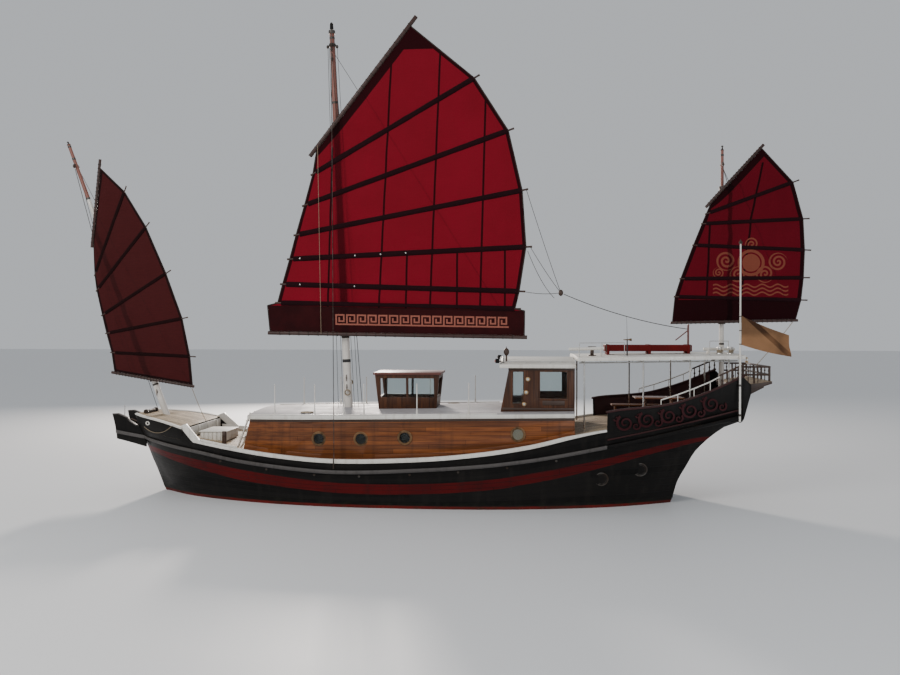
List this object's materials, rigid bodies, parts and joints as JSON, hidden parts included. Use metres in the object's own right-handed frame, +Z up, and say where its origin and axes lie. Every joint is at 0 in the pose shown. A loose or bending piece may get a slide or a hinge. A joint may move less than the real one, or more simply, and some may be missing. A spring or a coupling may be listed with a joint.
{
  "type": "chinese junk ship",
  "caption": "Decked junk-rigged cruising ship with battened lugsails, trunk cabin, wheelhouse, aft canopy, rudder and propeller, floating at its waterline.",
  "frame": {"origin": "on the centreline at the waterline, halfway along the waterline", "axes": "+X aft, +Y to starboard, +Z up"},
  "size_m": [23.498, 5.311, 16.7679],
  "materials": {
    "black_paint": "satin black paint on planking",
    "grey_paint": "weathered grey rail",
    "white_paint": "satin white paint",
    "red_paint": "satin dark red paint",
    "varnish": "varnished planks",
    "dark_varnish": "dark varnished boards",
    "dark_wood": "dark oiled timber",
    "mast_paint": "painted spar",
    "spar_wood": "dark stained spar",
    "sailcloth": "crimson woven sailcloth",
    "fore_sailcloth": "brown-maroon woven sailcloth",
    "flag_cloth": "thin plain flag cloth",
    "rope": "laid rope",
    "steel": "brushed",
    "bronze": "cast and polished",
    "window_glass": "clear"
  },
  "bodies": {
    "ship": {"hull": "black_paint", "keel": "black_paint", "foredeck": "white_paint", "bow_platform": "dark_wood", "bow_wing_port": "black_paint", "bow_wing_starboard": "black_paint", "rub_rail_port": "grey_paint", "rub_rail_starboard": "grey_paint", "sheer_strip_port": "white_paint", "sheer_strip_starboard": "white_paint", "bulwark_port": "black_paint", "bulwark_starboard": "black_paint", "stern_board": "black_paint", "stern_gallery": "dark_wood", "stern_gallery_rail": "dark_wood", "cabin_side_port": "varnish", "cabin_side_starboard": "varnish", "cabin_front": "varnish", "cabin_aft": "varnish", "cabin_top": "white_paint", "cabin_rail_port": "steel", "cabin_rail_starboard": "steel", "ladder": "white_paint", "bollard_port": "dark_wood", "bollard_starboard": "dark_wood", "deck_box": "dark_wood", "deck_box_top": "red_paint", "wheelhouse_side_port": "dark_varnish", "wheelhouse_side_starboard": "dark_varnish", "wheelhouse_front": "dark_varnish", "wheelhouse_aft": "dark_varnish", "wheelhouse_roof": "white_paint", "helm": "dark_varnish", "canopy_roof": "white_paint", "canopy_frame": "white_paint", "roof_locker": "red_paint", "boom_crutch": "dark_wood", "roof_spar": "mast_paint", "bench_port": "varnish", "bench_starboard": "varnish", "table": "varnish", "fore_mast": "mast_paint", "main_mast": "mast_paint", "mizzen_mast": "mast_paint", "main_shrouds": "steel", "flag_pole": "mast_paint", "flag": "flag_cloth"},
    "rudder": {"rudder": "black_paint"},
    "propeller": {"propeller": "bronze"},
    "wheelhouse_door": {"wheelhouse_door": "dark_varnish"},
    "fore_rig": {"fore_sail": "fore_sailcloth", "fore_yard": "spar_wood", "fore_boom": "spar_wood"},
    "main_rig": {"main_sail": "sailcloth", "main_yard": "spar_wood", "main_boom": "spar_wood"},
    "mizzen_rig": {"mizzen_sail": "sailcloth", "mizzen_yard": "spar_wood", "mizzen_boom": "spar_wood"}
  },
  "joints": [
    {"name": "rudder_turn", "type": "hinge", "parent": "ship", "child": "rudder", "pos_m": [7.45, 0, -1], "axis": [0, 0, 1], "range_deg": [-35, 35]},
    {"name": "propeller_spin", "type": "hinge", "parent": "ship", "child": "propeller", "pos_m": [6.78, 0, -1.12], "axis": [1, 0, 0], "continuous": true},
    {"name": "door_swing", "type": "hinge", "parent": "ship", "child": "wheelhouse_door", "pos_m": [4.994, 0.337, 3], "axis": [0, 0, 1], "range_deg": [0, 100]},
    {"name": "fore_sail_swing", "type": "hinge", "parent": "ship", "child": "fore_rig", "pos_m": [-7.98, 0, 2.15], "axis": [-0.347, 0, 0.9378], "range_deg": [-40, 40]},
    {"name": "main_sail_swing", "type": "hinge", "parent": "ship", "child": "main_rig", "pos_m": [-2.025, 0, 1.345], "axis": [-0.0438, 0, 0.999], "range_deg": [-30, 40]},
    {"name": "mizzen_sail_swing", "type": "hinge", "parent": "ship", "child": "mizzen_rig", "pos_m": [9.56, 0, 2.5], "axis": [0, 0, 1], "range_deg": [-40, 40]}
  ]
}
